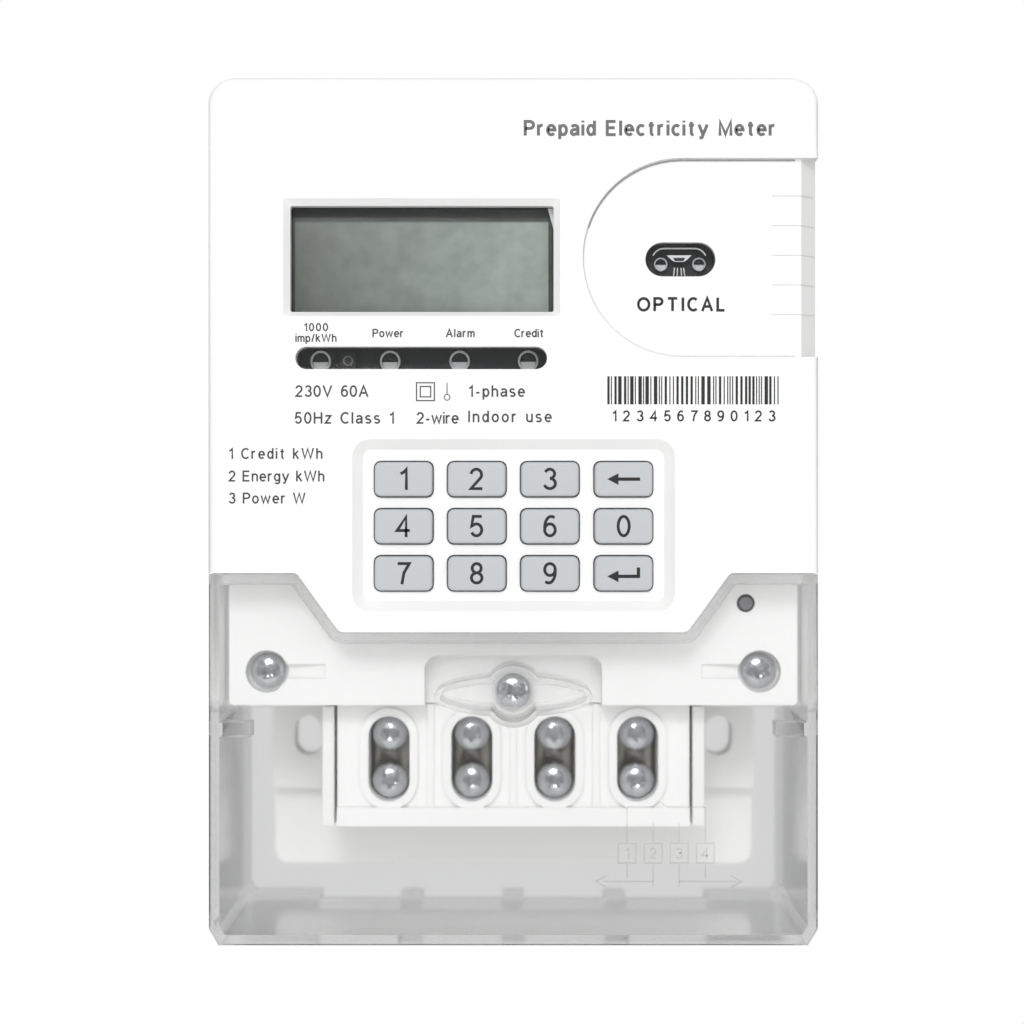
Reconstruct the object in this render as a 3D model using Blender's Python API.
"""Prepaid single-phase electricity meter, wall mounted, as an assembly of separate pieces.

Frame: +X to the meter's right as the user faces it, +Y into the wall, +Z up. The origin is the
centre of the wall face, so the meter lies between y = 0 (wall) and y = FRONT.
"""

import math

import bmesh
import bpy
from mathutils import Matrix, Vector

MM = 0.001
GAP = 0.3 * MM  # clearance between neighbouring pieces

# Whole meter
HALF_WIDTH = 65 * MM
TOP = 92.5 * MM
BOTTOM = -92.5 * MM
FRONT = -66 * MM  # front face of the console and of the clear terminal cover
PANEL = -50 * MM  # face of the flange under the clear cover
PARTING = -30 * MM  # seam between the base and the front cover
WALL = 2.2 * MM
CORNER_RADIUS = 5.5 * MM
EDGE_BEVEL = 1.3 * MM

# Base
BASE_BACK = 2.5 * MM
BASE_BOTTOM = -44.5 * MM
PLATE_HALF_WIDTH = 57 * MM
PLATE_BOTTOM = -84 * MM
LUG_INNER = 43.4 * MM
LUG_BOTTOM = -65.5 * MM
LUG_THICKNESS = 8 * MM
LUG_HOLE = (48.6 * MM, -53 * MM)
LUG_HOLE_SIZE = (6.4 * MM, 9.4 * MM)
FLANGE_INNER = 40 * MM
FLANGE_OUTER = 42.6 * MM
CASE_BOSS = (4.2 * MM, -43.2 * MM)  # radius and front of the bosses for the case screws
CASE_PILOT = (2.25 * MM, -12 * MM)  # radius and end of the holes in those bosses
MAIN_POST = (52 * MM, 3 * MM)  # sideways place and radius of the posts behind the main board
MAIN_POST_HEIGHTS = (-20 * MM, 82 * MM)
HANGER_BOX = (9 * MM, -9 * MM, 62 * MM, 84 * MM)  # half width, front, bottom and top
HANGER_ROOM = (11 * MM, 16 * MM, 72 * MM, -7 * MM)  # width, height, centre and front
HANGER_ENTRY = (69.5 * MM, 5 * MM)  # height and radius of the hole for a screw's head
HANGER_SLOT = (2.6 * MM, 68 * MM, 78 * MM)  # half width, bottom and top
BEYOND = 10 * MM  # how far a cutter runs past the wall face

# Front cover
CONSOLE_INSIDE = -61.8 * MM
CONSOLE_SIDE_BOTTOM = -13 * MM
CONSOLE_TONGUE_BOTTOM = -25.6 * MM
CONSOLE_SHOULDER = 46.15 * MM
CONSOLE_TONGUE = 37.05 * MM
PANEL_HALF_WIDTH = 62.3 * MM
PANEL_BOTTOM = -42.4 * MM
CASE_SCREW = (54.1 * MM, -35 * MM)
COVER_SCREW = (0.0, -39.5 * MM)
COVER_SCREW_SHANK = 1.75 * MM
INSERT_RADIUS = 2.9 * MM
INSERT_BOSS = 4.4 * MM
PLUNGER = (51 * MM, -20 * MM)
PLUNGER_HOLE = 2 * MM
PANEL_BACK = -45 * MM  # a depth well behind the flange's 2.2 mm wall
BEFORE_PANEL = -55 * MM  # a depth well in front of the flange
SCREW_WELL = (4.65 * MM, -45.5 * MM)  # radius and floor of the wells for the case screws
SCREW_WELL_CUP = (6 * MM, -43.5 * MM)  # radius and back of the cups around those wells
SCREW_PASS = 2.3 * MM  # radius of a screw's clearance hole
SEAL_GROOVE = (1.6 * MM, 3 * MM, 12.9 * MM)  # half width, start and end from the screw's axis
SEAL_GROOVE_DEPTHS = (2.6 * MM, 0.7 * MM)
SCREW_RECESS = (19.5 * MM, -31.5 * MM, -43 * MM)  # half width, top and floor
RECESS_BACKING = (21.7 * MM, -29.3 * MM, -40.8 * MM)  # the same for the wall behind it
BOARD_POST = (55 * MM, 2.5 * MM)  # sideways place and radius of the display board's posts
BOARD_POST_HEIGHTS = (-4 * MM, 82 * MM)
HOOK = (30 * MM, 42 * MM, -40 * MM, -22 * MM)  # inner and outer side, front and back
HOOK_ROOT_BACK = -33 * MM
HOOK_THICKNESS = 4.6 * MM

# Display window, lamp strip and optical port, as (left, right, bottom, top)
LCD_FRAME = (-49 * MM, 10 * MM, 41.7 * MM, 66.8 * MM)
LCD_OPENING = (-47.6 * MM, 8.6 * MM, 42.7 * MM, 65.3 * MM)
LAMP_SLOT = (-46.4 * MM, 7.2 * MM, 30.4 * MM, 35.2 * MM)
PORT_SLOT = (28.2 * MM, 43.2 * MM, 50.3 * MM, 57.6 * MM)
LAMPS = {"pulse": -41.6 * MM, "power": -26.6 * MM, "alarm": -11.6 * MM, "credit": 3.2 * MM}
LAMP_HEIGHT = 32.6 * MM
LAMP_RADIUS = 2.35 * MM
INFRARED = {"ir_emitter": 31.8 * MM, "ir_detector": 40 * MM}
INFRARED_HEIGHT = 53.4 * MM
PROBE_CENTRE = (35.9 * MM, 54.2 * MM)
PROBE_RADIUS = 21.2 * MM
PROBE_DEPTH = 1.8 * MM
GRIP_START = 61.5 * MM
GRIP_DROP = 4.2 * MM
GRIP_SLOPE = GRIP_DROP / (HALF_WIDTH - GRIP_START)
GRIP_PITCH = 6.33 * MM
GRIP_COUNT = 5
GRIP_RIB = (55.2 * MM, 0.45 * MM, 0.22 * MM)  # start, height and half width
WINDOW_FRONT = -61.5 * MM  # front of the three clear windows, behind the front wall
LCD_FRAME_DEPTH = 1.4 * MM
LCD_WINDOW_BACK = -60.1 * MM
LCD_HOLDER = (-59.8 * MM, -54.9 * MM)  # front and back
LCD_GLASS = (-59.2 * MM, -57.2 * MM)
LCD_LIGHT = (-56.9 * MM, -54.9 * MM)
LAMP_WINDOW_BACK = -60.5 * MM
PORT_WINDOW_BACK = -60.3 * MM
LAMP_TIP = -60.1 * MM
INFRARED_RADIUS = 1.5 * MM
LAMP_FLANGE = (0.4 * MM, 1 * MM)  # how far it stands out, and its thickness

# Keypad
KEYPAD_RECESS = (-34.3 * MM, 34.4 * MM, -21.2 * MM, 15.5 * MM)
KEYPAD_SLOPE = 2.2 * MM
KEYPAD_DEPTH = 2 * MM
KEY_COLUMNS = [-23.4 * MM, -7.8 * MM, 7.8 * MM, 23.5 * MM]
KEY_ROWS = [7 * MM, -3.05 * MM, -13.1 * MM]
KEY_NAMES = [["1", "2", "3", "back"], ["4", "5", "6", "0"], ["7", "8", "9", "enter"]]
KEY_SIZE = (12.3 * MM, 7.3 * MM)
KEY_FACE = -65.7 * MM
KEY_CORNER = 1.3 * MM
KEY_SKIRT = (0.8 * MM, 0.9 * MM)  # how far it stands out, and its thickness
KEY_STEM = (8 * MM, 4 * MM)
KEY_STEM_END = -58 * MM
MAT_FRONT = -56.4 * MM
MAT_DOME = (10 * MM, 6 * MM, -56.9 * MM)  # width and height of its foot, and its top

# Circuit boards
DISPLAY_BOARD = (-54.6 * MM, -53 * MM)  # front and back faces
MAIN_BOARD = (-28.6 * MM, -27 * MM)
BOARD_SIDE = 58 * MM
BOARD_TOP = 86 * MM
DISPLAY_BOARD_BOTTOM = -9 * MM
DISPLAY_BOARD_TONGUE = (34 * MM, -21 * MM)
MAIN_BOARD_BOTTOM = -26 * MM
PLUNGER_TIP = -50.6 * MM
RELAY = (-34 * MM, -2 * MM, -26.6 * MM, -8 * MM, -3 * MM, 27 * MM)  # x, y and z ranges
RELAY_WALL = 1.6 * MM
RELAY_AXIS = -16.5 * MM  # how far the coil and the armature stand from the wall face
ARMATURE_HINGE = (-15.85 * MM, 0.5 * MM)

# Terminals
BLOCK_BOTTOM = -70 * MM
BLOCK_FACE = -41 * MM
BLOCK_LEDGE = (1.6 * MM, 4.2 * MM)  # how far it stands out, and its height
BLOCK_RIM = (1.8 * MM, 1.3 * MM)  # width around a well, and how far it stands out
BLOCK_RIB = (0.7 * MM, 0.9 * MM)  # half width, and how far it stands out
BLOCK_RIBS = (-18.45 * MM, 0.0, 18.45 * MM)
CAVITY_BACK = -14.6 * MM
CAVITY_RISE = 3 * MM
CABLE_ENTRY_RADIUS = 4.1 * MM
TERMINALS = {
    "line_in": -27.7 * MM,
    "line_out": -9.25 * MM,
    "neutral_in": 9.25 * MM,
    "neutral_out": 27.7 * MM,
}
SCREW_HEIGHTS = {"upper": -49.8 * MM, "lower": -60.3 * MM}
WELL_SIZE = (9.2 * MM, 19 * MM)
WELL_HEIGHT = -55 * MM
SLEEVE = (10.4 * MM, -29 * MM, -17 * MM, -66 * MM, -44.5 * MM)  # width, front, back, bottom, top
BORE_CENTRE = -21.7 * MM
BORE_RADIUS = 3.7 * MM
TAP_RADIUS = 2.8 * MM
BAR_HALF_WIDTH = 4.5 * MM
BAR_THICKNESS = 1.6 * MM
BAR_BOTTOM = -62 * MM
LINE_BAR_TOP = -3.4 * MM
NEUTRAL_BAR_TOP = -12 * MM
NEUTRAL_CROSS_BOTTOM = -21 * MM

# Screws: head radius, shank radius, head height, whole length and front of the head
TERMINAL_SCREW = (3.5 * MM, 2.5 * MM, 3.2 * MM, 12.6 * MM, -38.5 * MM)
CASE_SCREW_SIZES = (3.4 * MM, 1.9 * MM, 2.6 * MM, 33 * MM, -48.4 * MM)
COVER_SCREW_SIZES = (3.55 * MM, COVER_SCREW_SHANK, 2.7 * MM, 13.5 * MM, -48.2 * MM)
INSERT_ENDS = (-42.6 * MM, -34 * MM)

# Clear terminal cover
COVER_TOP = -13.3 * MM
COVER_TONGUE = -25.9 * MM
COVER_GAP_SHIFT = 0.15 * MM  # sideways part of the clearance along the slanted edges
COVER_CHAMFER = (2.1 * MM, 3.5 * MM)
COVER_FACE_BACK = -64 * MM
COVER_SIDE_BACK = -31 * MM
COVER_FOOT_BACK = -0.8 * MM
COVER_FOOT_TOP = -45 * MM
COVER_BEVEL = 1.6 * MM
POCKET_RADIUS = 5.3 * MM
POCKET_WING = (15.7 * MM, 3 * MM)  # half width and half height
POCKET_BACK = -43.6 * MM
POCKET_FLOOR = 1.6 * MM
POCKET_WALL = 1.3 * MM
COVER_RIB = (56.1 * MM, -57 * MM, -48.1 * MM, -45 * MM)  # inner side, back, bottom and top
NOTCH_PITCH = 24 * MM
NOTCH_SIZE = (19 * MM, 14 * MM)


# ---------------------------------------------------------------- outlines, as lists of (x, z)


def arc(x, z, radius, start, end, steps):
    """Points on a circle between two angles in degrees, both ends included."""
    angles = [math.radians(start + (end - start) * i / steps) for i in range(steps + 1)]
    return [(x + radius * math.cos(a), z + radius * math.sin(a)) for a in angles]


def circle(x, z, radius, sides):
    return arc(x, z, radius, 0, 360, sides)[:-1]


def rounded(left, right, bottom, top, radius, steps=4):
    """A rectangle with round corners. A radius of half the height makes a racetrack."""
    corners = [
        (right - radius, top - radius, 0),
        (left + radius, top - radius, 90),
        (left + radius, bottom + radius, 180),
        (right - radius, bottom + radius, 270),
    ]
    points = []
    for x, z, start in corners:
        points += arc(x, z, radius, start, start + 90, steps)
    return without_repeats(points)


def centred(x, z, width, height, radius, steps=4):
    return rounded(x - width / 2, x + width / 2, z - height / 2, z + height / 2, radius, steps)


def without_repeats(points):
    kept = []
    for point in points:
        if not kept or math.dist(point, kept[-1]) > 1e-7:
            kept.append(point)
    if math.dist(kept[0], kept[-1]) < 1e-7:
        kept.pop()
    return kept


def shrunk(corners, distance):
    """The same anticlockwise (x, z, radius) corners moved inwards, with radii to match."""
    moved = inset([corner[:2] for corner in corners], distance)
    result = []
    count = len(corners)
    for i, (x, z) in enumerate(moved):
        radius = corners[i][2]
        before = Vector(corners[i][:2]) - Vector(corners[i - 1][:2])
        after = Vector(corners[(i + 1) % count][:2]) - Vector(corners[i][:2])
        convex = before.cross(after) > 0
        if radius > 0:
            radius = max(radius - distance, 0) if convex else radius + distance
        result.append((x, z, radius))
    return result


def filleted(corners, steps=3):
    """A polygon whose corners, given as (x, z, radius), are rounded by arcs."""
    points = []
    count = len(corners)
    for i, (x, z, radius) in enumerate(corners):
        here = Vector((x, z))
        before = (Vector(corners[i - 1][:2]) - here).normalized()
        after = (Vector(corners[(i + 1) % count][:2]) - here).normalized()
        if radius < 0.01 * MM:
            points.append((x, z))
            continue
        half = before.angle(after) / 2
        reach = radius / math.tan(half)
        first = here + before * reach
        last = here + after * reach
        centre = here + (before + after).normalized() * radius / math.sin(half)
        for step in range(steps + 1):
            spoke = first.lerp(last, step / steps) - centre
            point = centre + spoke.normalized() * radius
            points.append((point.x, point.y))
    return points


def inset(points, distance):
    """The same anticlockwise outline moved inwards by a distance."""
    moved = []
    count = len(points)
    for i in range(count):
        here = Vector(points[i])
        before = (here - Vector(points[i - 1])).normalized()
        after = (Vector(points[(i + 1) % count]) - here).normalized()
        normal_before = Vector((-before.y, before.x))
        normal_after = Vector((-after.y, after.x))
        middle = (normal_before + normal_after).normalized()
        reach = distance / middle.dot(normal_before)
        moved.append((here.x + middle.x * reach, here.y + middle.y * reach))
    return moved


# ---------------------------------------------------------------- solids


def clear_scene():
    for item in list(bpy.data.objects):
        bpy.data.objects.remove(item, do_unlink=True)


def material(name, color, roughness, metallic=0.0, alpha=1.0):
    look = bpy.data.materials.new(name)
    look.use_nodes = True
    shader = look.node_tree.nodes["Principled BSDF"]
    shader.inputs["Base Color"].default_value = (*color, 1.0)
    shader.inputs["Roughness"].default_value = roughness
    shader.inputs["Metallic"].default_value = metallic
    shader.inputs["Alpha"].default_value = alpha
    return look


def finish_mesh(name, mesh_data, look):
    bmesh.ops.recalc_face_normals(mesh_data, faces=mesh_data.faces)
    mesh = bpy.data.meshes.new(name)
    mesh_data.to_mesh(mesh)
    mesh_data.free()
    solid = bpy.data.objects.new(name, mesh)
    bpy.context.collection.objects.link(solid)
    if look:
        mesh.materials.append(look)
    return solid


def loft(name, sections, look=None):
    """A solid through (y, outline) sections that all have the same number of points."""
    mesh_data = bmesh.new()
    rings = []
    for y, outline in sections:
        rings.append([mesh_data.verts.new((x, y, z)) for x, z in outline])
    count = len(rings[0])
    for near, far in zip(rings, rings[1:]):
        for i in range(count):
            j = (i + 1) % count
            mesh_data.faces.new((near[i], near[j], far[j], far[i]))
    mesh_data.faces.new(rings[0])
    mesh_data.faces.new(list(reversed(rings[-1])))
    return finish_mesh(name, mesh_data, look)


def prism(name, outline, front, back, look=None):
    return loft(name, [(front, outline), (back, outline)], look)


def block(name, x_range, y_range, z_range, look=None):
    outline = [
        (x_range[0], z_range[0]),
        (x_range[1], z_range[0]),
        (x_range[1], z_range[1]),
        (x_range[0], z_range[1]),
    ]
    return prism(name, outline, y_range[0], y_range[1], look)


def upright(name, profile, bottom, top, look=None):
    """A solid with an (x, y) profile that is the same at every height between two."""
    mesh_data = bmesh.new()
    low = [mesh_data.verts.new((x, y, bottom)) for x, y in profile]
    high = [mesh_data.verts.new((x, y, top)) for x, y in profile]
    mesh_data.faces.new(low)
    mesh_data.faces.new(high)
    for i in range(len(profile)):
        j = (i + 1) % len(profile)
        mesh_data.faces.new((low[i], low[j], high[j], high[i]))
    return finish_mesh(name, mesh_data, look)


def rod(name, start, end, radius, sides, look=None):
    """A cylinder between two points."""
    start, end = Vector(start), Vector(end)
    mesh_data = bmesh.new()
    turn = Vector((0, 0, 1)).rotation_difference(end - start).to_matrix().to_4x4()
    place = Matrix.Translation((start + end) / 2) @ turn
    bmesh.ops.create_cone(
        mesh_data,
        cap_ends=True,
        segments=sides,
        radius1=radius,
        radius2=radius,
        depth=(end - start).length,
        matrix=place,
    )
    solid = finish_mesh(name, mesh_data, look)
    shade_round(solid)
    return solid


def turned(name, profile, x, z, sides, look=None):
    """A round solid about the Y line through (x, z), from (radius, y) points front to back."""
    sections = [(y, circle(x, z, radius, sides)) for radius, y in profile]
    solid = loft(name, sections, look)
    shade_round(solid)
    return solid


def shade_round(solid):
    solid.data.shade_smooth()
    solid.data.set_sharp_from_angle(angle=math.radians(35))


def boolean(target, other, operation):
    step = target.modifiers.new(other.name, "BOOLEAN")
    step.operation = operation
    step.solver = "EXACT"
    step.object = other
    other.hide_render = True
    other.display_type = "WIRE"


def cut(target, *cutters):
    for cutter in cutters:
        boolean(target, cutter, "DIFFERENCE")


def join(target, *others):
    for other in others:
        boolean(target, other, "UNION")


def applied(solid):
    """The solid's mesh with its modifiers applied, ready to be shared by copies."""
    bpy.context.view_layer.update()
    seen = solid.evaluated_get(bpy.context.evaluated_depsgraph_get())
    mesh = bpy.data.meshes.new_from_object(seen)
    mesh.name = solid.name
    return mesh


def bevel_front(solid, front, width, steps, chosen):
    """Round the front face's edges whose two ends (x, z) both satisfy chosen."""
    mesh_data = bmesh.new()
    mesh_data.from_mesh(solid.data)
    edges = []
    for edge in mesh_data.edges:
        ends = [vert.co for vert in edge.verts]
        if all(abs(co.y - front) < 1e-6 and chosen(co.x, co.z) for co in ends):
            edges.append(edge)
    bmesh.ops.bevel(
        mesh_data, geom=edges, offset=width, segments=steps, profile=0.5, affect="EDGES"
    )
    mesh_data.to_mesh(solid.data)
    mesh_data.free()


def set_origin(solid, point):
    """Put a moving piece's origin on its joint axis."""
    solid.data.transform(Matrix.Translation(-Vector(point)))
    solid.location = point


# ---------------------------------------------------------------- case


CONSOLE_CORNERS = [
    (-HALF_WIDTH, CONSOLE_SIDE_BOTTOM, 0),
    (-CONSOLE_SHOULDER, CONSOLE_SIDE_BOTTOM, 1.5 * MM),
    (-CONSOLE_TONGUE, CONSOLE_TONGUE_BOTTOM, 2 * MM),
    (CONSOLE_TONGUE, CONSOLE_TONGUE_BOTTOM, 2 * MM),
    (CONSOLE_SHOULDER, CONSOLE_SIDE_BOTTOM, 1.5 * MM),
    (HALF_WIDTH, CONSOLE_SIDE_BOTTOM, 0),
    (HALF_WIDTH, TOP, CORNER_RADIUS),
    (-HALF_WIDTH, TOP, CORNER_RADIUS),
]

# The front cover at the panel's level: full width above, narrower inside the clear cover.
FLANGE_CORNERS = [
    (-PANEL_HALF_WIDTH, PANEL_BOTTOM, 1 * MM),
    (PANEL_HALF_WIDTH, PANEL_BOTTOM, 1 * MM),
    (PANEL_HALF_WIDTH, CONSOLE_SIDE_BOTTOM, 0),
    (HALF_WIDTH, CONSOLE_SIDE_BOTTOM, 0),
    (HALF_WIDTH, TOP, CORNER_RADIUS),
    (-HALF_WIDTH, TOP, CORNER_RADIUS),
    (-HALF_WIDTH, CONSOLE_SIDE_BOTTOM, 0),
    (-PANEL_HALF_WIDTH, CONSOLE_SIDE_BOTTOM, 0),
]


def make_base_case(look):
    seam = PARTING + 0.5 * MM
    outline = rounded(-HALF_WIDTH, HALF_WIDTH, BASE_BOTTOM, TOP, CORNER_RADIUS, 5)
    base = prism("base_case", outline, seam, 0, look)
    hollow = filleted(shrunk(FLANGE_CORNERS, WALL), 4)
    cut(base, prism("base_hollow", hollow, seam - WALL, -BASE_BACK))

    plate = rounded(-PLATE_HALF_WIDTH, PLATE_HALF_WIDTH, PLATE_BOTTOM, BASE_BOTTOM + WALL, 3 * MM)
    join(base, prism("base_plate", plate, -BASE_BACK, 0))
    shared = BASE_BOTTOM + WALL / 2  # height where the lower features run into the floor
    for side, label in ((-1, "left"), (1, "right")):
        xs = sorted((side * LUG_INNER, side * PLATE_HALF_WIDTH))
        join(base, block(f"base_lug_{label}", xs, (-LUG_THICKNESS, 0), (LUG_BOTTOM, shared)))
        xs = sorted((side * FLANGE_INNER, side * FLANGE_OUTER))
        low = block(f"base_flange_{label}", xs, (BLOCK_FACE, 0), (BLOCK_BOTTOM, shared))
        join(base, low)
        x, z = side * CASE_SCREW[0], CASE_SCREW[1]
        radius, front = CASE_BOSS
        join(base, rod(f"base_boss_{label}", (x, front, z), (x, 0, z), radius, 20))
        radius, end = CASE_PILOT
        cut(base, rod(f"base_pilot_{label}", (x, PANEL, z), (x, end, z), radius, 14))
        slot = centred(side * LUG_HOLE[0], LUG_HOLE[1], *LUG_HOLE_SIZE, LUG_HOLE_SIZE[0] / 2)
        cut(base, prism(f"base_lug_hole_{label}", slot, -LUG_THICKNESS - BEYOND, BEYOND))
        x, radius = side * MAIN_POST[0], MAIN_POST[1]
        for height in MAIN_POST_HEIGHTS:
            post = rod(f"base_post_{label}_{height / MM:.0f}",
                       (x, MAIN_BOARD[1] + GAP, height), (x, 0, height), radius, 12)
            join(base, post)

    window = block(
        "base_terminal_window",
        (-FLANGE_INNER + 2 * MM, FLANGE_INNER - 2 * MM),
        (seam + 1.5 * MM, -BASE_BACK - 2 * MM),
        (BASE_BOTTOM - 1 * MM, PANEL_BOTTOM + WALL + 1 * MM),
    )
    cut(base, window)

    half, front, bottom, top = HANGER_BOX
    join(base, block("base_hanger_box", (-half, half), (front, -1 * MM), (bottom, top)))
    width, height, centre, front = HANGER_ROOM
    head = centred(0, centre, width, height, width / 2)
    cut(base, prism("base_hanger_head", head, front, -BASE_BACK))
    height, radius = HANGER_ENTRY
    cut(base, prism("base_hanger_entry", circle(0, height, radius, 20), -2 * BASE_BACK, BEYOND))
    half, bottom, top = HANGER_SLOT
    slot = rounded(-half, half, bottom, top, half)
    cut(base, prism("base_hanger_slot", slot, -2 * BASE_BACK, BEYOND))
    return base


def make_case_gasket(look):
    """The soft seal between the two rims, a little inside the outer walls."""
    front = PARTING - 0.25 * MM
    back = PARTING + 0.25 * MM
    outer = filleted(shrunk(FLANGE_CORNERS, 0.5 * MM), 4)
    inner = filleted(shrunk(FLANGE_CORNERS, WALL), 4)
    gasket = prism("case_gasket", outer, front, back, look)
    cut(gasket, prism("gasket_hollow", inner, front - WALL, back + WALL))


def make_front_cover(look):
    seam = PARTING - 0.5 * MM
    cover = prism("front_cover", filleted(CONSOLE_CORNERS, 5), FRONT, PANEL + WALL, look)
    bevel_front(
        cover,
        FRONT,
        EDGE_BEVEL,
        3,
        lambda x, z: z > CONSOLE_SIDE_BOTTOM + MM or abs(x) > HALF_WIDTH - MM,
    )
    join(cover, prism("cover_flange", filleted(FLANGE_CORNERS, 5), PANEL, seam))
    hollow = filleted(shrunk(FLANGE_CORNERS, WALL), 4)
    deep = filleted(shrunk(CONSOLE_CORNERS, WALL), 4)
    cut(cover, prism("cover_console_hollow", deep, CONSOLE_INSIDE, PANEL + 2 * WALL))
    cut(cover, prism("cover_hollow", hollow, PANEL + WALL, 0))
    join(cover, *cover_backings())

    boss_x, boss_z = COVER_SCREW
    for side, label in ((-1, "left"), (1, "right")):
        x, z = side * CASE_SCREW[0], CASE_SCREW[1]
        radius, floor = SCREW_WELL
        well = [(radius, BEFORE_PANEL), (radius, floor)]
        cut(cover, turned(f"cover_well_{label}", well, x, z, 28))
        bore = [(SCREW_PASS, BEFORE_PANEL), (SCREW_PASS, SCREW_WELL_CUP[1] + 3.5 * MM)]
        cut(cover, turned(f"cover_pass_{label}", bore, x, z, 14))
        cut(cover, seal_groove(f"cover_groove_{label}", side, x, z))
    hole = [(PLUNGER_HOLE, BEFORE_PANEL), (PLUNGER_HOLE, PANEL_BACK)]
    cut(cover, turned("cover_plunger_hole", hole, *PLUNGER, 18))
    half, top, floor = SCREW_RECESS
    recess = rounded(-half, half, PANEL_BOTTOM - 7.6 * MM, top, 3 * MM)
    cut(cover, prism("cover_screw_recess", recess, BEFORE_PANEL, floor))
    bore = [(INSERT_RADIUS + GAP, PANEL_BACK), (INSERT_RADIUS + GAP, PARTING)]
    cut(cover, turned("cover_insert_hole", bore, boss_x, boss_z, 20))

    cut(cover, *console_cutters())
    middle = PROBE_CENTRE[1] + 0.9 * MM
    for i in range(GRIP_COUNT):
        join(cover, grip_rib(f"cover_grip_{i}", middle + (GRIP_COUNT // 2 - i) * GRIP_PITCH))


def cover_backings():
    """What stands behind the front cover's walls: cups, posts, hooks and the screw's boss."""
    half, top, back = RECESS_BACKING
    backings = [block("cover_recess_backing", (-half, half), (PANEL + MM, back),
                      (PANEL_BOTTOM, top))]
    for side, label in ((-1, "left"), (1, "right")):
        x, z = side * CASE_SCREW[0], CASE_SCREW[1]
        radius, back = SCREW_WELL_CUP
        backings.append(rod(f"cover_cup_{label}", (x, PANEL + MM, z), (x, back, z), radius, 24))
        inner = sorted((x - side * 2.1 * MM, x - side * (SEAL_GROOVE[2] + 1.2 * MM)))
        half = SEAL_GROOVE[0] + 1.2 * MM
        backings.append(block(f"cover_groove_backing_{label}", inner, (PANEL + MM, -45.2 * MM),
                              (z - half, z + half)))
        x, radius = side * BOARD_POST[0], BOARD_POST[1]
        for height in BOARD_POST_HEIGHTS:
            post = rod(f"cover_post_{label}_{height / MM:.0f}", (x, FRONT + 3 * MM, height),
                       (x, DISPLAY_BOARD[0] - GAP, height), radius, 12)
            backings.append(post)
        near, far, front, back = HOOK
        across = sorted((side * near, side * far))
        backings.append(block(f"cover_hook_{label}", across, (front, back),
                              (TOP - HOOK_THICKNESS, TOP - WALL - GAP)))
        backings.append(block(f"cover_hook_root_{label}", across, (front, HOOK_ROOT_BACK),
                              (TOP - HOOK_THICKNESS, TOP - 1 * MM)))
    x, z = COVER_SCREW
    front, back = SCREW_RECESS[2], INSERT_ENDS[1] + 2 * MM
    backings.append(rod("cover_boss", (x, front, z), (x, back, z), INSERT_BOSS, 24))
    return backings


def seal_groove(name, side, x, z):
    """A sealing-wire groove that runs from a screw well towards the middle and gets shallower."""
    half, start, end = SEAL_GROOVE
    deep, shallow = SEAL_GROOVE_DEPTHS
    near, far = x - side * start, x - side * end
    profile = [
        (near, BEFORE_PANEL), (far, BEFORE_PANEL), (far, PANEL + shallow), (near, PANEL + deep)
    ]
    return upright(name, profile, z - half, z + half)


def console_cutters():
    """The display window, lamp slot, optical port, probe seat and keypad openings."""
    before = FRONT - 1 * MM
    through = CONSOLE_INSIDE + 1 * MM
    left, right, bottom, top = LCD_FRAME
    frame = rounded(left, right, bottom, top, 0.4 * MM, 2)
    inner = rounded(*LCD_OPENING, 0.4 * MM, 2)
    cutters = [
        loft("cut_lcd_frame", [(before, frame), (FRONT, frame), (FRONT + LCD_FRAME_DEPTH, inner),
                               (through, inner)]),
    ]
    left, right, bottom, top = LAMP_SLOT
    slot = rounded(left, right, bottom, top, (top - bottom) / 2, 8)
    cutters.append(prism("cut_lamp_slot", slot, before, through))

    cutters.append(probe_seat_cutter())
    left, right, bottom, top = PORT_SLOT
    port = rounded(left, right, bottom, top, (top - bottom) / 2, 9)
    cutters.append(prism("cut_port", port, before, through))

    left, right, bottom, top = KEYPAD_RECESS
    rim = rounded(left, right, bottom, top, 3.8 * MM, 5)
    floor = inset(rim, KEYPAD_SLOPE)
    cutters.append(loft("cut_keypad", [(before, rim), (FRONT, rim),
                                       (FRONT + KEYPAD_DEPTH, floor)]))
    for row, z in enumerate(KEY_ROWS):
        for column, x in enumerate(KEY_COLUMNS):
            hole = centred(x, z, KEY_SIZE[0] + 2 * GAP, KEY_SIZE[1] + 2 * GAP, 1.5 * MM, 3)
            cutters.append(prism(f"cut_key_{row}_{column}", hole, before, through))
    return cutters


def probe_seat_cutter():
    """A D-shaped seat for an optical probe, open to the right, with a chamfered side."""
    x, z = PROBE_CENTRE
    floor = FRONT + PROBE_DEPTH
    side = HALF_WIDTH + 5 * MM
    bow = arc(x, z, PROBE_RADIUS, 90, 270, 28)
    flat = [(GRIP_START, z - PROBE_RADIUS), (GRIP_START, z + PROBE_RADIUS)]
    seat = prism("cut_probe_seat", bow + flat, FRONT - MM, floor)
    overlap = 0.01 * MM
    profile = [
        (GRIP_START - overlap, FRONT - MM),
        (side, FRONT - MM),
        (side, floor + GRIP_SLOPE * (side - GRIP_START)),
        (GRIP_START - overlap, floor),
    ]
    join(seat, upright("cut_probe_side", profile, z - PROBE_RADIUS, z + PROBE_RADIUS))
    return seat


def grip_rib(name, z):
    """A thin rib that runs over the seat's edge and down the chamfer."""
    start, height, half = GRIP_RIB
    floor = FRONT + PROBE_DEPTH
    edge = HALF_WIDTH - GAP
    drop = GRIP_SLOPE * (edge - GRIP_START)
    root = floor + 1 * MM
    profile = [
        (start, floor - height),
        (GRIP_START, floor - height),
        (edge, floor + drop - height),
        (edge, root + drop),
        (GRIP_START, root),
        (start, root),
    ]
    return upright(name, profile, z - half, z + half)


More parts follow.
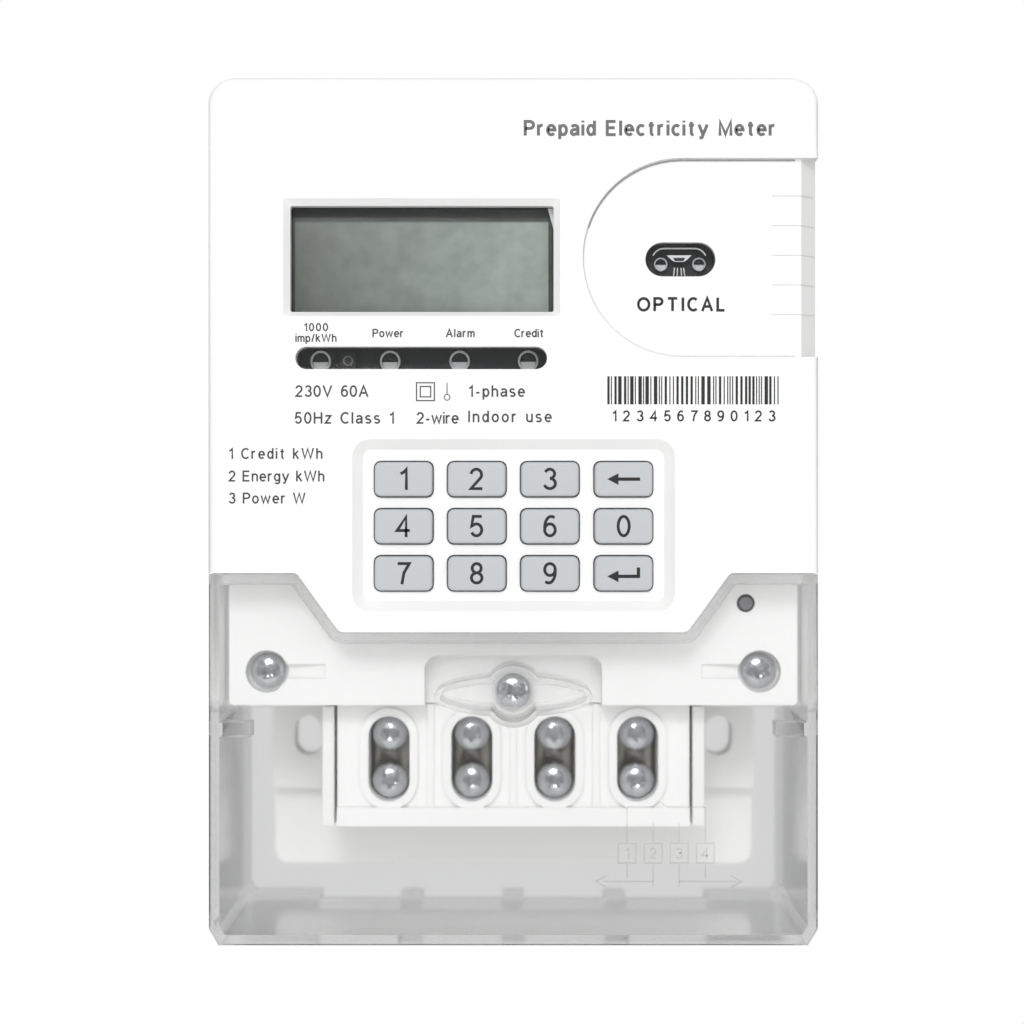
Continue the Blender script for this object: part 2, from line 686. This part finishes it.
# ---------------------------------------------------------------- display, lamps and port


def grown(box, amount):
    left, right, bottom, top = box
    return (left - amount, right + amount, bottom - amount, top + amount)


def make_display(looks):
    left, right, bottom, top = LCD_OPENING
    pane = rounded(left - 2.4 * MM, right + 2.4 * MM, bottom - 2 * MM, top + 2 * MM, MM, 2)
    prism("lcd_window", pane, WINDOW_FRONT, LCD_WINDOW_BACK, looks["clear"])
    outline = rounded(left - 3 * MM, right + 3 * MM, bottom - 2.6 * MM, top + 2.6 * MM, MM, 2)
    front, back = LCD_HOLDER
    holder = prism("lcd_holder", outline, front, back, looks["black"])
    glass = (left - 0.4 * MM, right - 0.1 * MM, bottom - 1.4 * MM, top - 0.2 * MM)
    room = rounded(*grown(glass, GAP), 0.5 * MM, 2)
    cut(holder, prism("lcd_holder_room", room, front - 1.2 * MM, back + 1.9 * MM))
    plate = rounded(*glass, 0.4 * MM, 2)
    prism("lcd_panel", plate, *LCD_GLASS, looks["lcd"])
    prism("lcd_backlight", plate, *LCD_LIGHT, looks["diffuser"])

    lens = rounded(*grown(LAMP_SLOT, 1.6 * MM), 4 * MM, 6)
    prism("led_window", lens, WINDOW_FRONT, LAMP_WINDOW_BACK, looks["smoke"])
    lens = rounded(*grown(PORT_SLOT, 1.6 * MM), 5.2 * MM, 6)
    prism("optical_window", lens, WINDOW_FRONT, PORT_WINDOW_BACK, looks["smoke"])

    for label, x in LAMPS.items():
        lamp(f"{label}_led", x, LAMP_HEIGHT, LAMP_RADIUS, looks["lamp"])
    for name, x in INFRARED.items():
        lamp(name, x, INFRARED_HEIGHT, INFRARED_RADIUS, looks["infrared"])


def lamp(name, x, z, radius, look):
    """A light-emitting diode: a flange on the board, a barrel and a domed tip."""
    back = DISPLAY_BOARD[0] - GAP
    dome = []
    for degrees in (20, 45, 70, 90):
        angle = math.radians(degrees)
        dome.append((radius * math.sin(angle), LAMP_TIP + radius * (1 - math.cos(angle))))
    proud, thickness = LAMP_FLANGE
    flange = [(radius, back - thickness), (radius + proud, back - thickness),
              (radius + proud, back)]
    turned(name, dome + flange, x, z, 12, look)


# ---------------------------------------------------------------- keypad


def make_keypad(looks):
    width, height = KEY_SIZE
    proud, thickness = KEY_SKIRT
    cap = centred(0, 0, width, height, KEY_CORNER, 3)
    crown = inset(cap, 0.5 * MM)
    skirt = centred(0, 0, width + 2 * proud, height + 2 * proud, KEY_CORNER + GAP, 3)
    stem = centred(0, 0, *KEY_STEM, 1 * MM, 3)
    shelf = CONSOLE_INSIDE + GAP - KEY_FACE
    sections = [
        (0.0, crown),
        (0.35 * MM, cap),
        (shelf, cap),
        (shelf, skirt),
        (shelf + thickness, skirt),
        (shelf + thickness, stem),
        (KEY_STEM_END - KEY_FACE, stem),
    ]
    pattern = loft("key_pattern", sections)
    shared = pattern.data
    bpy.data.objects.remove(pattern)
    for names, z in zip(KEY_NAMES, KEY_ROWS):
        for label, x in zip(names, KEY_COLUMNS):
            key = bpy.data.objects.new(f"key_{label}", shared.copy())
            key.data.materials.append(looks["key"])
            bpy.context.collection.objects.link(key)
            key.location = (x, KEY_FACE, z)

    sheet = rounded(*grown(KEYPAD_RECESS, -1.5 * MM), 2 * MM)
    mat = prism("keypad_mat", sheet, MAT_FRONT, DISPLAY_BOARD[0] - GAP, looks["rubber"])
    foot_width, foot_height, top = MAT_DOME
    for row, z in enumerate(KEY_ROWS):
        for column, x in enumerate(KEY_COLUMNS):
            foot = centred(x, z, foot_width, foot_height, 1.5 * MM, 1)
            pad = centred(x, z, *KEY_STEM, 1 * MM, 1)
            sections = [(top, pad), (MAT_FRONT + 0.4 * MM, foot)]
            join(mat, loft(f"mat_dome_{row}_{column}", sections))


# ---------------------------------------------------------------- inside


def make_electronics(looks):
    front, back = DISPLAY_BOARD
    tongue, tongue_bottom = DISPLAY_BOARD_TONGUE
    corners = [
        (-BOARD_SIDE, DISPLAY_BOARD_BOTTOM, MM),
        (-tongue, DISPLAY_BOARD_BOTTOM, 0),
        (-tongue, tongue_bottom, MM),
        (tongue, tongue_bottom, MM),
        (tongue, DISPLAY_BOARD_BOTTOM, 0),
        (BOARD_SIDE, DISPLAY_BOARD_BOTTOM, MM),
        (BOARD_SIDE, BOARD_TOP, MM),
        (-BOARD_SIDE, BOARD_TOP, MM),
    ]
    prism("display_board", filleted(corners, 2), front, back, looks["board"])
    front, back = MAIN_BOARD
    outline = rounded(-BOARD_SIDE, BOARD_SIDE, MAIN_BOARD_BOTTOM, BOARD_TOP, 1.5 * MM, 2)
    prism("main_board", outline, front, back, looks["board"])

    top = front - GAP
    core = block("power_transformer", (18 * MM, 50 * MM), (-49 * MM, top), (38 * MM, 66 * MM),
                 looks["steel"])
    coil = block("transformer_coil", (24 * MM, 44 * MM), (-48 * MM, top), (33 * MM, 71 * MM))
    join(core, coil)
    turned("smoothing_capacitor", [(5.6 * MM, -48 * MM), (6.2 * MM, -47.4 * MM),
                                   (6.2 * MM, top)], 4 * MM, 62 * MM, 20, looks["black"])
    rod("backup_battery", (-44 * MM, -36.5 * MM, 76 * MM), (-19 * MM, -36.5 * MM, 76 * MM),
        7.2 * MM, 20, looks["battery"])
    prism("metering_chip", centred(-8 * MM, 8 * MM, 12 * MM, 12 * MM, 0.3 * MM, 1),
          top - 2 * MM, top, looks["black"])
    switch = block("cover_switch", (47 * MM, 55 * MM), (-42 * MM, top), (-24 * MM, -16 * MM),
                   looks["black"])
    cut(switch, block("cover_switch_well", (49.5 * MM, 52.5 * MM), (-45 * MM, -39 * MM),
                      (-21.5 * MM, -18.5 * MM)))


def make_plunger(look):
    x, z = PLUNGER
    profile = [(1.3, 0.0), (1.6, 0.3), (1.6, 3.2), (2.7, 3.2), (2.7, 4.2), (1.2, 4.2), (1.2, 9.2)]
    sections = [(radius * MM, PLUNGER_TIP + depth * MM) for radius, depth in profile]
    pin = turned("cover_switch_plunger", sections, x, z, 16, look)
    set_origin(pin, (x, PLUNGER_TIP, z))


def make_relay(looks):
    left, right, front, back, bottom, top = RELAY
    housing = block("relay_housing", (left, right), (front, back), (bottom, top), looks["black"])
    room = block("relay_room", (left + RELAY_WALL, right - RELAY_WALL), (front + RELAY_WALL, 0),
                 (bottom + RELAY_WALL, top - RELAY_WALL))
    cut(housing, room)
    x = -25 * MM
    rod("relay_coil", (x, RELAY_AXIS, 1 * MM), (x, RELAY_AXIS, 22 * MM), 5.5 * MM, 20,
        looks["copper"])
    x, z = ARMATURE_HINGE
    half = 0.65 * MM
    armature = block("relay_armature", (x - half, x + half),
                     (RELAY_AXIS - 4.5 * MM, RELAY_AXIS + 4.5 * MM), (z, 23 * MM), looks["steel"])
    set_origin(armature, (x, RELAY_AXIS, z))


# ---------------------------------------------------------------- terminals


def make_terminal_block(look):
    half = FLANGE_INNER - 0.7 * MM
    top = PANEL_BOTTOM - GAP
    body = block("terminal_block", (-half, half), (BLOCK_FACE, PARTING - 0.4 * MM),
                 (BLOCK_BOTTOM, top), look)
    rear = block("block_rear", (-half, half), (PARTING - 2 * MM, -BASE_BACK - GAP),
                 (BLOCK_BOTTOM, BASE_BOTTOM - GAP))
    proud, height = BLOCK_LEDGE
    ledge = block("block_ledge", (-half, half), (BLOCK_FACE - proud, BLOCK_FACE + MM),
                  (BLOCK_BOTTOM, BLOCK_BOTTOM + height))
    join(body, rear, ledge)
    margin, proud = BLOCK_RIM
    rim_width, rim_height = WELL_SIZE[0] + 2 * margin, WELL_SIZE[1] + 2 * margin
    for name, x in TERMINALS.items():
        rim = centred(x, WELL_HEIGHT, rim_width, rim_height, rim_width / 2, 8)
        join(body, prism(f"block_rim_{name}", rim, BLOCK_FACE - proud, BLOCK_FACE + MM))
    half, proud = BLOCK_RIB
    for x in BLOCK_RIBS:
        rib = block(f"block_rib_{x / MM:.0f}", (x - half, x + half),
                    (BLOCK_FACE - proud, BLOCK_FACE + MM), (BLOCK_BOTTOM + 3 * MM, top))
        join(body, rib)
    width, front, _, bottom, top = SLEEVE
    for name, x in TERMINALS.items():
        well = centred(x, WELL_HEIGHT, *WELL_SIZE, WELL_SIZE[0] / 2, 8)
        cut(body, prism(f"block_well_{name}", well, BLOCK_FACE - 5 * MM, front + MM))
        cavity = block(
            f"block_cavity_{name}",
            (x - width / 2 - GAP, x + width / 2 + GAP),
            (front - GAP, CAVITY_BACK),
            (bottom - GAP, top + CAVITY_RISE),
        )
        cut(body, cavity)
        entry = rod(f"block_entry_{name}", (x, BORE_CENTRE, BLOCK_BOTTOM - MM),
                    (x, BORE_CENTRE, bottom + MM), CABLE_ENTRY_RADIUS, 20)
        cut(body, entry)
    x, z = COVER_SCREW
    notch = rod("block_boss_notch", (x, PANEL, z), (x, PARTING - MM, z), INSERT_BOSS + GAP, 24)
    cut(body, notch)


def make_terminals(looks):
    width, front, back, bottom, top = SLEEVE
    for name, x in TERMINALS.items():
        sleeve = block(f"{name}_terminal", (x - width / 2, x + width / 2), (front, back),
                       (bottom, top), looks["brass"])
        bore = rod(f"bore_{name}", (x, BORE_CENTRE, bottom - MM), (x, BORE_CENTRE, top + MM),
                   BORE_RADIUS, 20)
        cut(sleeve, bore)
        for z in SCREW_HEIGHTS.values():
            tap = rod(f"tap_{name}_{z / MM:.0f}", (x, front - MM, z), (x, BORE_CENTRE, z),
                      TAP_RADIUS, 14)
            cut(sleeve, tap)

    depth = (back + GAP, back + GAP + BAR_THICKNESS)
    half = BAR_HALF_WIDTH
    for name, label in (("line_in", "line_shunt_bar"), ("line_out", "load_bar")):
        x = TERMINALS[name]
        block(label, (x - half, x + half), depth, (BAR_BOTTOM, LINE_BAR_TOP), looks["copper"])
    x_in, x_out = TERMINALS["neutral_in"], TERMINALS["neutral_out"]
    height = (BAR_BOTTOM, NEUTRAL_BAR_TOP)
    bar = block("neutral_bar", (x_in - half, x_in + half), depth, height, looks["copper"])
    leg = block("neutral_leg", (x_out - half, x_out + half), depth, height)
    cross = block("neutral_cross", (x_in, x_out), depth, (NEUTRAL_CROSS_BOTTOM, NEUTRAL_BAR_TOP))
    join(bar, leg, cross)


def screw_mesh(name, sizes, sides, look):
    """A round-headed screw along +Y from its front, with a cross recess in the head."""
    head_radius, shank_radius, head_height, length, _ = sizes
    dome = []
    for share, depth in ((0.55, 0.0), (0.9, 0.3), (1.0, 0.62), (1.0, 1.0)):
        dome.append((head_radius * share, head_height * depth))
    shank = [(shank_radius, head_height), (shank_radius, length - 0.5 * MM),
             (shank_radius * 0.8, length)]
    screw = turned(name, dome + shank, 0, 0, sides, look)
    long, thin, deep = head_radius * 0.62, head_radius * 0.14, head_height * 0.55
    cross = block(name + "_slot", (-long, long), (-MM, deep), (-thin, thin))
    join(cross, block(name + "_slot_across", (-thin, thin), (-MM, deep), (-long, long)))
    cut(screw, cross)
    mesh = applied(screw)
    bpy.data.objects.remove(screw)
    return mesh


def place_screw(name, mesh, x, front, z):
    screw = bpy.data.objects.new(name, mesh)
    bpy.context.collection.objects.link(screw)
    screw.location = (x, front, z)


def make_screws(looks):
    mesh = screw_mesh("terminal_screw", TERMINAL_SCREW, 12, looks["zinc"])
    for terminal, x in TERMINALS.items():
        for label, z in SCREW_HEIGHTS.items():
            place_screw(f"{terminal}_{label}_screw", mesh, x, TERMINAL_SCREW[-1], z)
    mesh = screw_mesh("case_screw", CASE_SCREW_SIZES, 14, looks["zinc"])
    x, z = CASE_SCREW
    for side, label in ((-1, "left"), (1, "right")):
        place_screw(f"case_screw_{label}", mesh, side * x, CASE_SCREW_SIZES[-1], z)
    mesh = screw_mesh("cover_screw_body", COVER_SCREW_SIZES, 16, looks["zinc"])
    x, z = COVER_SCREW
    place_screw("cover_screw", mesh, x, COVER_SCREW_SIZES[-1], z)

    front, back = INSERT_ENDS
    insert = rod("cover_screw_insert", (x, front, z), (x, back, z), INSERT_RADIUS, 18,
                 looks["brass"])
    bore = rod("insert_bore", (x, PANEL_BACK, z), (x, PARTING, z), COVER_SCREW_SHANK + GAP, 16)
    cut(insert, bore)


# ---------------------------------------------------------------- clear terminal cover


COVER_CORNERS = [
    (-HALF_WIDTH + COVER_CHAMFER[0], BOTTOM, 0),
    (HALF_WIDTH - COVER_CHAMFER[0], BOTTOM, 0),
    (HALF_WIDTH, BOTTOM + COVER_CHAMFER[1], 0),
    (HALF_WIDTH, COVER_TOP, 0),
    (CONSOLE_SHOULDER + COVER_GAP_SHIFT, COVER_TOP, 1.8 * MM),
    (CONSOLE_TONGUE + COVER_GAP_SHIFT, COVER_TONGUE, 1.7 * MM),
    (-CONSOLE_TONGUE - COVER_GAP_SHIFT, COVER_TONGUE, 1.7 * MM),
    (-CONSOLE_SHOULDER - COVER_GAP_SHIFT, COVER_TOP, 1.8 * MM),
    (-HALF_WIDTH, COVER_TOP, 0),
    (-HALF_WIDTH, BOTTOM + COVER_CHAMFER[1], 0),
]


def pocket_outline(grow):
    """The screw pocket: a round well with a wing for the sealing wire on each side."""
    x, z = COVER_SCREW
    radius = POCKET_RADIUS + grow
    wing, tall = POCKET_WING[0] + grow, POCKET_WING[1] + grow
    meet = pocket_meeting_angle(radius, wing, tall)
    turn = math.degrees(meet)
    right = ellipse_arc(x, z, wing, tall, radius, meet, 1)
    left = ellipse_arc(x, z, wing, tall, radius, meet, -1)
    upper = arc(x, z, radius, turn, 180 - turn, 10)
    lower = arc(x, z, radius, 180 + turn, 360 - turn, 10)
    return without_repeats(right + upper + left + lower)


def pocket_meeting_angle(radius, wing, tall):
    """The angle at the centre where the circle crosses the ellipse."""
    squared = (radius**-2 - wing**-2) / (tall**-2 - wing**-2)
    return math.asin(math.sqrt(squared))


def ellipse_arc(x, z, wing, tall, radius, meet, side):
    """The ellipse beyond the circle on one side, anticlockwise."""
    limit = math.asin(radius * math.sin(meet) / tall)
    points = []
    steps = 14
    for i in range(steps + 1):
        angle = -limit + 2 * limit * i / steps
        if side < 0:
            angle += math.pi
        points.append((x + wing * math.cos(angle), z + tall * math.sin(angle)))
    return points


def make_terminal_cover(look):
    cover = prism("terminal_cover", filleted(COVER_CORNERS, 4), FRONT, COVER_FOOT_BACK, look)
    foot = BOTTOM + COVER_CHAMFER[1] + MM
    bevel_front(
        cover,
        FRONT,
        COVER_BEVEL,
        2,
        lambda x, z: abs(x) > HALF_WIDTH - 0.1 * MM or z < foot,
    )
    room = filleted(shrunk(COVER_CORNERS, WALL), 4)
    cut(cover, prism("cover_room", room, COVER_FACE_BACK, BEYOND))
    upper = block("cover_case_room", (-80 * MM, 80 * MM), (COVER_SIDE_BACK, BEYOND),
                  (COVER_FOOT_TOP, 0))
    behind = block("cover_panel_room", (-HALF_WIDTH + WALL, HALF_WIDTH - WALL),
                   (PANEL - GAP, BEYOND), (COVER_FOOT_TOP, 0))
    cut(cover, upper, behind)
    width, depth = NOTCH_SIZE
    for i in range(4):
        x = (i - 1.5) * NOTCH_PITCH
        notch = block(f"cover_notch_{i}", (x - width / 2, x + width / 2), (-depth, BEYOND),
                      (BOTTOM - 5 * MM, BOTTOM + 5 * MM))
        cut(cover, notch)
    pocket = prism("cover_pocket", pocket_outline(POCKET_WALL), FRONT + 0.2 * MM, POCKET_BACK)
    join(cover, pocket)
    inner, back, bottom, top = COVER_RIB
    for side, label in ((-1, "left"), (1, "right")):
        across = sorted((side * inner, side * (HALF_WIDTH - WALL / 2)))
        join(cover, block(f"cover_rib_{label}", across, (FRONT + MM, back), (bottom, top)))
    cut(cover, prism("cover_pocket_room", pocket_outline(0), FRONT - MM,
                     POCKET_BACK - POCKET_FLOOR))
    x, z = COVER_SCREW
    cut(cover, rod("cover_screw_pass", (x, PANEL, z), (x, PANEL + BEYOND, z), SCREW_PASS, 18))


def main():
    clear_scene()
    looks = {
        "shell": material("white_shell", (0.86, 0.86, 0.84), 0.35),
        "base": material("white_base", (0.82, 0.82, 0.80), 0.4),
        "seal": material("grey_seal", (0.3, 0.3, 0.3), 0.8),
        "clear": material("clear_window", (0.9, 0.93, 0.93), 0.05, alpha=0.35),
        "smoke": material("smoked_window", (0.03, 0.03, 0.035), 0.08, alpha=0.7),
        "lcd": material("lcd_glass", (0.29, 0.33, 0.29), 0.2),
        "diffuser": material("white_diffuser", (0.8, 0.85, 0.75), 0.5),
        "lamp": material("clear_lamp", (0.75, 0.78, 0.78), 0.1, alpha=0.6),
        "infrared": material("infrared_lamp", (0.25, 0.25, 0.3), 0.1),
        "black": material("black_plastic", (0.02, 0.02, 0.02), 0.5),
        "key": material("grey_key", (0.58, 0.6, 0.62), 0.55),
        "rubber": material("silicone_mat", (0.5, 0.52, 0.54), 0.7),
        "board": material("circuit_board", (0.02, 0.2, 0.07), 0.45),
        "steel": material("core_steel", (0.35, 0.35, 0.37), 0.4, metallic=0.9),
        "battery": material("battery_sleeve", (0.1, 0.3, 0.12), 0.4),
        "copper": material("bare_copper", (0.72, 0.43, 0.26), 0.35, metallic=1.0),
        "brass": material("plated_brass", (0.72, 0.62, 0.36), 0.35, metallic=1.0),
        "zinc": material("zinc_plate", (0.75, 0.76, 0.78), 0.25, metallic=1.0),
        "grey": material("grey_pin", (0.25, 0.25, 0.26), 0.5),
        "cover": material("clear_cover", (0.88, 0.9, 0.9), 0.06, alpha=0.3),
    }
    make_base_case(looks["base"])
    make_case_gasket(looks["seal"])
    make_front_cover(looks["shell"])
    make_display(looks)
    make_keypad(looks)
    make_electronics(looks)
    make_plunger(looks["grey"])
    make_relay(looks)
    make_terminal_block(looks["shell"])
    make_terminals(looks)
    make_screws(looks)
    make_terminal_cover(looks["cover"])


main()
